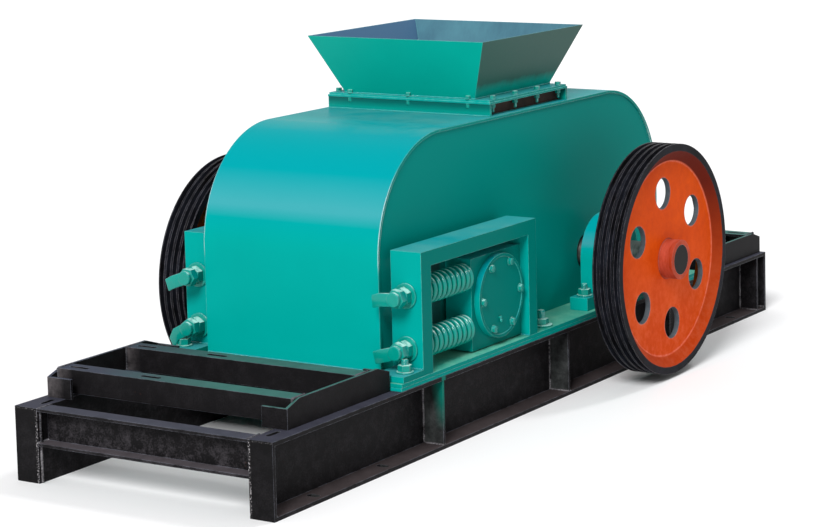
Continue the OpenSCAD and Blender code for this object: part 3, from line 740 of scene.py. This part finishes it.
def wind_spring(name, x, z, start_y, end_y):
    curve = bpy.data.curves.new(name, "CURVE")
    curve.dimensions = "3D"
    curve.bevel_depth = WIRE_D / 2
    curve.bevel_resolution = 3
    curve.use_fill_caps = True
    spline = curve.splines.new("POLY")
    steps = int(COILS * POINTS_PER_TURN)
    spline.points.add(steps)
    radius = (SPRING_D - WIRE_D) / 2
    for i, point in enumerate(spline.points):
        turns = COILS * i / steps
        angle = 2 * math.pi * turns
        point.co = (x + radius * math.cos(angle), start_y + spring_height(turns, end_y - start_y),
                    z + radius * math.sin(angle), 1)
    piece = bpy.data.objects.new(name, curve)
    bpy.context.scene.collection.objects.link(piece)
    pick(piece)
    bpy.ops.object.convert(target="MESH")
    return smooth(piece, 60)


for side in ("left", "right"):
    low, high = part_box("springs_" + side)
    x = (low.x + high.x) / 2
    pair = [wind_spring("spring", x, z, low.y, high.y)
            for z in (low.z + SPRING_D / 2, high.z - SPRING_D / 2)]
    piece = paint(join(pair, "round_springs_" + side), enamel_spring)
    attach(piece, "frame")
    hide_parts("springs_" + side)
    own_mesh(piece)

# %% [markdown]
# ## Turned and hexagonal pieces
# Most small parts on the machine are turned on a lathe or cut from hexagon bar. A turned part is
# drawn as half of its section and spun round the Z axis, which gives clean rings where stacking
# cylinders would leave seams. A nut is a six sided bar whose corners are cut by a cone: here a
# Boolean keeps what a hexagonal prism and a turned double cone have in common, just as the real nut
# is made.


# %% Turn a piece
def turned(name, section, steps=24):
    """Spins a section of (radius, height) points, which starts and ends on the axis."""
    mesh = bpy.data.meshes.new(name)
    mesh.from_pydata([(r, 0, h) for r, h in section],
                     [(i, i + 1) for i in range(len(section) - 1)], [])
    piece = bpy.data.objects.new(name, mesh)
    bpy.context.scene.collection.objects.link(piece)
    pick(piece)
    bpy.ops.object.mode_set(mode="EDIT")
    bpy.ops.mesh.select_all(action="SELECT")
    bpy.ops.mesh.spin(steps=steps, angle=2 * math.pi, center=(0, 0, 0), axis=(0, 0, 1))
    bpy.ops.mesh.select_all(action="SELECT")
    bpy.ops.mesh.remove_doubles(threshold=1e-6)
    bpy.ops.mesh.normals_make_consistent(inside=False)
    bpy.ops.object.mode_set(mode="OBJECT")
    return piece


def washer(radius, thick, low=0.0):
    rim = thick * 0.25
    return turned("washer", [(0, low), (radius - rim, low), (radius, low + rim),
                             (radius, low + thick - rim), (radius - rim, low + thick),
                             (0, low + thick)])


def screw_thread(radius, low, high, pitch=0.003, steps=16):
    """A threaded bar as a turned piece: a ridge and a groove for each turn, and a cut end."""
    section, height = [(0, low), (radius * 0.86, low)], low
    while height + pitch < high - 0.002:
        section += [(radius * 0.88, height + pitch * 0.15), (radius, height + pitch * 0.55)]
        height += pitch
    section += [(radius * 0.88, height + pitch * 0.2), (radius * 0.8, high), (0, high)]
    return turned("thread", section, steps)


print("turned pieces:", washer.__name__, "and", screw_thread.__name__)


# %% Cut a hexagon
def hexagon(across, height, low=0.0, both=True):
    """A hexagon bar end with its corners cut by a cone, on top or at both ends."""
    corner = across / math.sqrt(3)
    flat, past = across * 0.48, corner * 1.02
    fall = (corner - flat) * 0.5
    foot = [(0, low), (flat, low), (past, low + fall)] if both else [(0, low), (past, low)]
    top = [(past, low + height - fall), (flat, low + height), (0, low + height)]
    cutter = turned("cutter", foot + top, 48)
    pick()
    bpy.ops.mesh.primitive_cylinder_add(vertices=6, radius=corner, depth=height + 0.004,
                                        location=(0, 0, low + height / 2))
    bar = bpy.context.object
    bpy.ops.object.transform_apply(location=True)
    apply_modifier(bar, "BOOLEAN", operation="INTERSECT", object=cutter, solver="EXACT")
    bpy.data.objects.remove(cutter)
    return bar


print("a hexagon 30 mm across has corners", round(30 / math.sqrt(3) * 2, 1), "mm apart")

# %% [markdown]
# ## Bolts in the covers, flanges and feet
# Five kinds are enough. The feed flange has small bolt heads on washers, and under it small nuts with
# the ends of those bolts. The bearing covers have a larger bolt head. The feet are held by studs with
# a washer and a nut, in two sizes. They are painted over with the machine, so they wear its enamel, a
# little glossier where a spanner has rubbed them, with a painted highlight, almost white, on their
# crests.

# %% Make the five kinds
# The nuts, levers and fittings carry a painted highlight on their crests.
rubbed_and_glinting = enamel("rubbed_glinting_enamel", tone(0, 146, 132), dust=0.1, gloss=0.1, edge=0.5, sheen=0.3,
                side=0.8, sky=0.2, painted_glint=1.0)


def fastener(name, pieces):
    return paint(smooth(join(pieces, name), 30), rubbed_and_glinting)


small_bolt = fastener("small_bolt", [washer(0.0092, 0.0016), hexagon(0.0155, 0.009, 0.0014, False)])
small_nut = fastener("small_nut", [washer(0.0092, 0.0016), hexagon(0.0155, 0.011, 0.0014),
                                   screw_thread(0.0048, 0.0, 0.026, 0.0017, 12)])
cover_bolt = fastener("cover_bolt", [washer(0.0125, 0.002), hexagon(0.0185, 0.0085, 0.0018, False)])
stud = fastener("stud", [washer(0.024, 0.004), hexagon(0.034, 0.018, 0.0038),
                         screw_thread(0.0105, 0.0, 0.036)])
large_stud = fastener("large_stud", [washer(0.033, 0.005), hexagon(0.038, 0.017, 0.0048),
                                     screw_thread(0.012, 0.0, 0.046)])
kinds = [small_bolt, small_nut, cover_bolt, stud, large_stud]
print("kinds and their faces:", {kind.name: len(kind.data.polygons) for kind in kinds})

# %% Set out the bolts of the feed flange
BOLT_XS, BOLT_YS = (-0.205, 0.0, 0.205), (-0.105, 0.02, 0.145, 0.27)
flange_low, flange_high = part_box("feed_flange")
front_y, back_y = flange_low.y + 0.0078, flange_high.y - 0.0078
side_x = flange_high.x - 0.014
spots = [(x, y) for x in BOLT_XS for y in (front_y, back_y)]
spots += [(s * side_x, y) for y in BOLT_YS for s in (-1, 1)]
copies(small_bolt, "feed_flange_bolts",
       [at(x, y, flange_high.z, spin=i * 23) for i, (x, y) in enumerate(spots)])
copies(small_nut, "feed_flange_nuts",
       [at(x, y, flange_low.z, (0, 0, -1), i * 31) for i, (x, y) in enumerate(spots)])

# %% Set out the cover bolts
COVER_CIRCLE, COVER_FACE = 0.1, 0.002
for side, way in (("left", -1), ("right", 1)):
    low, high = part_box("bearing_cover_" + side)
    face_x = low.x if way < 0 else high.x - COVER_FACE
    ring = [math.radians(60 * i + 2) for i in range(6)]
    spots = [(front_axis_y + COVER_CIRCLE * math.cos(a), axis_z + COVER_CIRCLE * math.sin(a))
             for a in ring]
    copies(cover_bolt, "cover_bolts_" + side,
           [at(face_x, y, z, (way, 0, 0), i * 17) for i, (y, z) in enumerate(spots)], "carriage")

# %% Set out the studs in the feet
BEARING_FOOT, BEARING_STUD_Y = 0.039, 0.157
GUIDE_FOOT, GUIDE_FOOT_L = 0.017, 0.096
plate_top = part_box("base_plate_right")[1].z
foot_low, foot_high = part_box("rear_bearing_right")
foot_x, foot_z = (foot_low.x + foot_high.x) / 2, plate_top + BEARING_FOOT
guides = {way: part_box("guide_frame_" + side) for side, way in (("left", -1), ("right", 1))}
copies(stud, "rear_bearing_studs",
       [at(s * foot_x, rear_axis_y + d, foot_z, spin=20 * s + 100 * d)
        for s in (-1, 1) for d in (-BEARING_STUD_Y, BEARING_STUD_Y)])
front_spots = [((g[0].x + g[1].x) / 2 + 0.02 * way, g[0].y + 0.05) for way, g in guides.items()]
copies(stud, "guide_foot_studs",
       [at(x, y, plate_top + GUIDE_FOOT, spin=11) for x, y in front_spots])
rear_spots = [((g[0].x + g[1].x) / 2 + 0.008 * way, g[1].y + 0.091) for way, g in guides.items()]
copies(large_stud, "guide_rear_studs", [at(x, y, plate_top, spin=7) for x, y in rear_spots])

# %% [markdown]
# ## Adjusting rods
# Each spring is carried on a threaded rod that ends outside the front post in a washer, two locked
# nuts and a flat lever. The lever is a bar with a round eye: a turned disc makes the eye, and the bar
# is pulled out of a cube, given a square tip and bevelled. No two levers stand alike. For each rod,
# the lower one first, three numbers say how far the lever has fallen in degrees, how strongly it is
# bent down, and how the outer nut is turned. The rods travel with the sliding bearings.

# %% Make a lever
LEVER_REACH, LEVER_W, LEVER_T = 0.066, 0.036, 0.012


def lever(bend):
    """A lever that lies on the XY plane with its eye at the origin and its tip towards -X."""
    eye = turned("eye", [(0, 0.0), (0.018, 0.0), (0.020, 0.002), (0.020, LEVER_T - 0.002),
                         (0.018, LEVER_T), (0, LEVER_T)], 32)
    pick()
    bpy.ops.mesh.primitive_cube_add(size=1, location=(-LEVER_REACH / 2, 0, LEVER_T / 2))
    bar = bpy.context.object
    bar.scale = (LEVER_REACH, LEVER_W, LEVER_T * 0.9)
    bpy.ops.object.transform_apply(location=True, scale=True)
    bpy.ops.object.mode_set(mode="EDIT")
    bpy.ops.mesh.select_all(action="SELECT")
    bpy.ops.mesh.bisect(plane_co=(-LEVER_REACH * 0.62, 0, 0), plane_no=(1, 0, 0))
    bpy.ops.object.mode_set(mode="OBJECT")
    edit_faces(bar, lambda face: face.normal.x < -0.9)
    bpy.ops.transform.resize(value=(1, 0.96, 0.9), center_override=(-LEVER_REACH, 0, LEVER_T / 2))
    bpy.ops.transform.translate(value=(0, -0.030 * bend, 0))
    bpy.ops.object.mode_set(mode="OBJECT")
    apply_modifier(bar, "BEVEL", width=0.0022, segments=2, limit_method="ANGLE")
    return join([eye, bar], "lever")


print("the tip of a lever lies", LEVER_REACH, "m from its rod")

# %% Make a rod with its washer, nuts and lever
WASHER_R, WASHER_T, NUT_W, NUT_H = 0.035, 0.006, 0.046, 0.0236
INNER_NUT = WASHER_T + 0.0002
OUTER_NUT = INNER_NUT + NUT_H + 0.0004
LEVER_AT = OUTER_NUT + NUT_H + 0.0002
OUT_OF_POST = Matrix.Rotation(math.radians(90), 4, "X")


def rod_set(x, z, post_y, block_y, fall, bend, spin):
    """A rod through the front post with its washer, two nuts and lever, in place."""
    rod = screw_thread(0.0138, post_y - block_y, 0.0545, 0.0045, 20)
    inner = hexagon(NUT_W, NUT_H, INNER_NUT)
    outer = hexagon(NUT_W, NUT_H, OUTER_NUT)
    outer.data.transform(Matrix.Rotation(math.radians(spin), 4, "Z"))
    arm = lever(bend)
    fallen = Matrix.Rotation(math.radians(fall), 4, "Z")
    arm.data.transform(Matrix.Translation((0, 0, LEVER_AT)) @ fallen)
    made = join([rod, washer(WASHER_R, WASHER_T), inner, outer, arm], "rod_set")
    made.data.transform(Matrix.Translation((x, post_y, z)) @ OUT_OF_POST)
    return made


print("nuts at", round(INNER_NUT, 4), "and", round(OUTER_NUT, 4), "m, lever at", round(LEVER_AT, 4))

# %% Put the rods in
ROD_SPREAD = 0.072
STANCES = {"right": ((15, 0.0, 12), (4, 0.15, 22)), "left": ((27, 0.55, 8), (19, 0.1, 26))}
for side, way in (("left", -1), ("right", 1)):
    low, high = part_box("adjusting_rods_" + side)
    x = high.x - WASHER_R
    post_y = guides[way][0].y + GUIDE_FOOT_L - 0.0003
    sets = [rod_set(x, z, post_y, high.y, *stance)
            for stance, z in zip(STANCES[side], (axis_z - ROD_SPREAD, axis_z + ROD_SPREAD))]
    piece = paint(smooth(join(sets, "rods_and_levers_" + side), 32), rubbed_and_glinting)
    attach(piece, "carriage")
    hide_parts("adjusting_rods_" + side)
    print(piece.name, "from y", round(post_y, 3), "with", len(piece.data.polygons), "faces")

# %% [markdown]
# ## Grease nipples
# Each bearing is greased through a small nipple. It is a short turned fitting: a hexagon foot and
# a round nose with a neck.

# %% Fit the nipples
BEARING_R = 0.125
nipple = fastener("nipple", [hexagon(0.011, 0.006), turned("nose", [
    (0, 0.0), (0.0035, 0.0), (0.0035, 0.009), (0.0046, 0.011), (0.0046, 0.013), (0.0028, 0.0165),
    (0.0020, 0.0175), (0, 0.0175)], 16)])
cover_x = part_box("bearing_cover_right")[1].x - COVER_FACE
copies(nipple, "cover_grease_nipple",
       [at(cover_x, front_axis_y - 0.011, axis_z - 0.058, (0.35, 0, -0.94))], "carriage")
copies(nipple, "bearing_grease_nipples",
       [at(s * foot_x, rear_axis_y, axis_z + BEARING_R - 0.0002) for s in (-1, 1)])
for master in kinds + [nipple]:
    bpy.data.objects.remove(master)

# %% [markdown]
# ## Weld beads
# The skid and the frames are welded. A weld is a row of small overlapping ripples where the molten
# pool froze again and again, so one flattened ball is repeated along each seam with an Array
# modifier. A plain tube along the seam would be lighter, but its highlight would be a straight line,
# and it is the broken highlight that makes a weld look like one. Every seam runs along one axis, so
# it is written as a place in which one of the three coordinates is a pair.

# %% Shape one ripple and run a seam
pick()
bpy.ops.mesh.primitive_uv_sphere_add(segments=8, ring_count=5, radius=1)
ripple = bpy.context.object
ripple.data.transform(Matrix.Diagonal((1, 1, 0.75, 1)))


def seam(start, end, radius):
    """A weld bead from one point to another."""
    span = Vector(end) - Vector(start)
    count = max(2, round(span.length / (radius * 1.1)))
    piece = duplicate(ripple, at(*start, span) @ Matrix.Scale(radius, 4))
    apply_modifier(piece, "ARRAY", fit_type="FIXED_COUNT", count=count, use_relative_offset=False,
                   use_constant_offset=True, constant_offset_displace=span / (count - 1))
    return piece


def run(x, y, z):
    """The two ends of a seam, where the coordinate that changes along it is given as a pair."""
    return [tuple(value[end] if isinstance(value, tuple) else value for value in (x, y, z))
            for end in (0, 1)]


def mirrored(ends, ways=(1, -1)):
    """The same seam on the right and on the left, and at both ends of the skid."""
    return [[(s * x, e * y, z) for x, y, z in ends] for s in (1, -1) for e in ways]


def weld(name, seams, material, radius=0.004):
    piece = paint(smooth(join([seam(*ends, radius) for ends in seams], name), 50), material)
    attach(piece, "frame")
    print(name + ":", len(seams), "seams,", len(piece.data.polygons), "faces")


print("one ripple has", len(ripple.data.polygons), "faces")


# %% Weld the skid
WEB_T, FLANGE_T, END_T, RIB_T, BEAM_T = 0.009, 0.011, 0.010, 0.008, 0.008
black_weld = black_paint("black_weld", (90, 90, 100), (90, 90, 100), 1.0, 0.8)
beam_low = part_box("cross_beam_rear")[0]
end_y, web_face = half_l - END_T, web_x + WEB_T
low_z, high_z = FLANGE_T + 0.002, rail_top - FLANGE_T - 0.002
across = (web_face + 0.003, outer_x - 0.004)
corner = [
    run(web_x - 0.0012, end_y - 0.0005, (0.004, rail_top - 0.004)),
    run(web_face, end_y - 0.0025, (low_z + 0.001, high_z - 0.001)),
    run(across, end_y - 0.0015, low_z),
    run(across, end_y - 0.0015, high_z),
    run(web_x - 0.001, beam_low.y, (beam_low.z + BEAM_T + 0.001, rail_top - BEAM_T - 0.001)),
    run(web_x - 0.001, (half_l - 0.003, beam_low.y), beam_low.z + BEAM_T + 0.0005),
    run(web_x - 0.003, (half_l - 0.004, beam_low.y - 0.004), rail_top - 0.001),
]
seams = [copy for ends in corner for copy in mirrored(ends)]
for rib_y in RIB_PLACES:
    for y in (rib_y - RIB_T / 2 - 0.0005, rib_y + RIB_T / 2 + 0.0005):
        seams += mirrored(run(web_face + 0.0005, y, (low_z, high_z)), (1,))
        seams += mirrored(run(across, y, FLANGE_T + 0.0005), (1,))
weld("skid_welds", seams, black_weld)

# %% Weld the motor bases
STRIP_W = 0.056
seams = []
for name in ("front_base", "rear_base"):
    low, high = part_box(name + "_cross")
    for x in (low.x + 0.001, high.x - 0.001):
        seams += [run(x, y, (rail_top + 0.010, high.z - 0.002))
                  for y in (low.y, high.y, low.y + STRIP_W, high.y - STRIP_W)]
        seams += [run(x, (y + 0.003, y + STRIP_W - 0.003), high.z - 0.0006)
                  for y in (low.y, high.y - STRIP_W)]
    for side_low, side_high in (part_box(name + "_side_left"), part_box(name + "_side_right")):
        seams += [run((side_low.x + 0.006, side_high.x - 0.010), y, rail_top + 0.0095)
                  for y in (side_low.y + 0.0085, side_high.y - 0.0085)]
weld("motor_base_welds", seams, black_weld)

# %% Weld the body, the guide frames and the rear bearings
FRONT_POST, REAR_POST = 0.048, 0.043
teal_weld = enamel("teal_weld", tone(0, 156, 144), dust=0.2, gloss=0.15, edge=0.6, sheen=0.4)
seams = [run((body_low.x + 0.004, body_high.x - 0.004), y, plate_top + 0.002)
         for y in (body_low.y - 0.001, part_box("hood_rear")[1].y + 0.001)]
for way, (low, high) in guides.items():
    across = (low.x + 0.004, high.x - 0.004)[::way]     # from the body outwards
    post_y = low.y + GUIDE_FOOT_L
    seams.append(run(across, post_y - 0.001, plate_top + GUIDE_FOOT + 0.001))
    seams += [run(across, y, plate_top + 0.001)
              for y in (high.y + 0.001, post_y + FRONT_POST + 0.001, high.y - REAR_POST - 0.001)]
for d in (-1, 1):
    seams += mirrored(run((foot_low.x + 0.001, foot_high.x - 0.001),
                          rear_axis_y + d * (BEARING_R + 0.0005), foot_z + 0.001), (1,))
weld("body_welds", seams, teal_weld)

# %% Weld the collar and the hopper
NECK_X, NECK_Y = 0.2255, 0.2125
seams = [run((collar_low.x + 0.003, collar_high.x - 0.003), y, collar_low.z + 0.001)
         for y in (collar_low.y - 0.0005, collar_high.y + 0.0005)]
middle_y = (hopper_low.y + hopper_high.y) / 2
front_y, back_y = middle_y - NECK_Y, middle_y + NECK_Y
for x, y in (((-NECK_X, NECK_X), front_y), (NECK_X, (front_y, back_y)),
             ((NECK_X, -NECK_X), back_y), (-NECK_X, (back_y, front_y))):
    seams.append(run(x, y, hopper_low.z + 0.0015))
weld("feed_welds", seams, teal_weld, 0.003)
bpy.data.objects.remove(ripple)

# %% [markdown]
# ## Light and ground
# The light is plain: an even white sky, one large soft lamp in front, high up and a little to the
# right, and a weak one behind that only puts a glint on round bars and nuts. Both lamps are suns with
# a wide angle, so their shadows have soft edges. The camera and the glossy surfaces see a white sky,
# while the sky lights the machine at about half of white, so colours come out as they were mixed.

# %% Light the machine
world = bpy.data.worlds.new("even_sky")
bpy.context.scene.world = world
world.use_nodes = True
tree = world.node_tree
tree.nodes.clear()
sky = Signal(tree)
seen = sky.node("LightPath", output="Is Camera Ray")
path = seen.socket.node
for name in ("Is Glossy Ray", "Is Transmission Ray"):
    seen = seen.math("MAXIMUM", seen, Signal(tree, path.outputs[name]))
soft = sky.node("Background", {"Color": (1, 1, 1, 1), "Strength": 0.5})
white = sky.node("Background", {"Color": (1, 1, 1, 1), "Strength": 1.0})
mixed = sky.node("MixShader", {0: seen, 1: soft, 2: white})
out = tree.nodes.new("ShaderNodeOutputWorld")
tree.links.new(mixed.socket, out.inputs["Surface"])

for name, strength, angle, source in (("soft_lamp", 2.85, 22, (0.2, -0.745, 0.636)),
                                      ("glint_lamp", 0.6, 9, (0.25, 0.52, 0.82))):
    pick()
    bpy.ops.object.light_add(type="SUN")
    lamp = bpy.context.object
    lamp.name = name
    lamp.data.energy = strength
    lamp.data.angle = math.radians(angle)
    lamp.matrix_world = Vector(source).to_track_quat("Z", "Y").to_matrix().to_4x4()
    print(name, "strength", strength, "from", source)

# %% Lay the ground
pick()
bpy.ops.mesh.primitive_plane_add(size=60, location=(0, 0, 0))
ground = bpy.context.object
ground.name = "ground"
pale, shader, place = start("pale_ground")
finish(shader, {"Base Color": noise(place, 0.6).mix(tone(243, 243, 244), tone(248, 248, 249)),
                "Roughness": 0.9, "Specular IOR Level": 0.1})
paint(ground, pale)
print("ground:", ground.dimensions.x, "m wide")

# %% [markdown]
# ## Plain colours
# The Standard view shows a colour as it was mixed, where other views bend it.

# %% Show plain colours
bpy.context.scene.view_settings.view_transform = "Standard"
